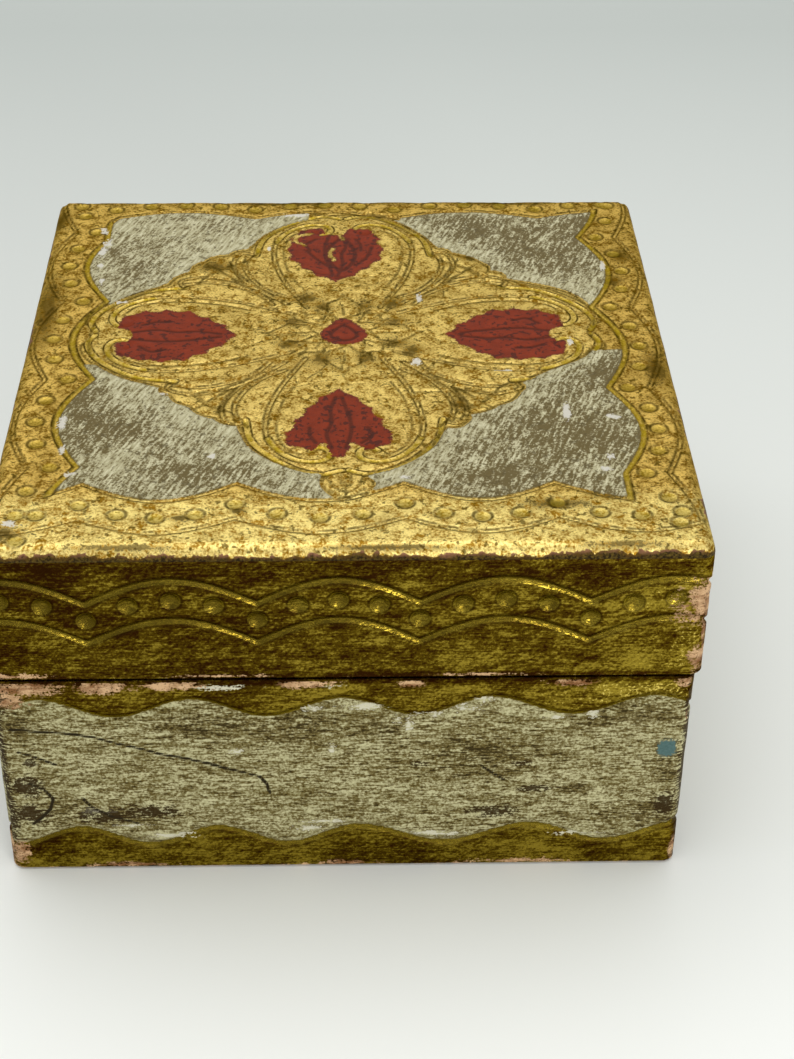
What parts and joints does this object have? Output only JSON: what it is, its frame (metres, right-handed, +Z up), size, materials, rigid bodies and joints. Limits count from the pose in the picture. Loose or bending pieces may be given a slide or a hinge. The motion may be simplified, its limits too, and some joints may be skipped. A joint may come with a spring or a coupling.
{
  "type": "trinket box",
  "caption": "Small gilded wooden box with a hollow hinged lid, walls of jointed boards under a gilt gesso coat, and brass butt hinges let into the back seam.",
  "frame": {"origin": "under the centre of the base, on the face that it rests on", "axes": "+Z up, +Y to the hinged back, +X to the right seen from the front"},
  "size_m": [0.1089, 0.113, 0.064],
  "materials": {
    "limewood": "matte",
    "gilt_gesso": "satin",
    "hinge_brass": "satin",
    "steel_pin": "satin"
  },
  "bodies": {
    "base": {"base_bottom_board": "limewood", "base_front_board": "limewood", "base_back_board": "limewood", "base_left_board": "limewood", "base_right_board": "limewood", "base_gilt_gesso": "gilt_gesso", "left_hinge_base_leaf": "hinge_brass", "right_hinge_base_leaf": "hinge_brass", "left_hinge_pin": "hinge_brass", "right_hinge_pin": "hinge_brass", "base_hinge_nails": "hinge_brass", "base_corner_pins": "steel_pin", "bottom_board_pins": "steel_pin"},
    "lid": {"lid_top_board": "limewood", "lid_front_rail": "limewood", "lid_back_rail": "limewood", "lid_left_rail": "limewood", "lid_right_rail": "limewood", "lid_gilt_gesso": "gilt_gesso", "left_hinge_lid_leaf": "hinge_brass", "right_hinge_lid_leaf": "hinge_brass", "lid_hinge_nails": "hinge_brass", "lid_corner_pins": "steel_pin", "top_board_pins": "steel_pin"}
  },
  "joints": [
    {"name": "lid_hinge", "type": "hinge", "parent": "base", "child": "lid", "pos_m": [0, 0.0548, 0.0396], "axis": [-1, 0, 0], "range_deg": [0, 100]}
  ]
}
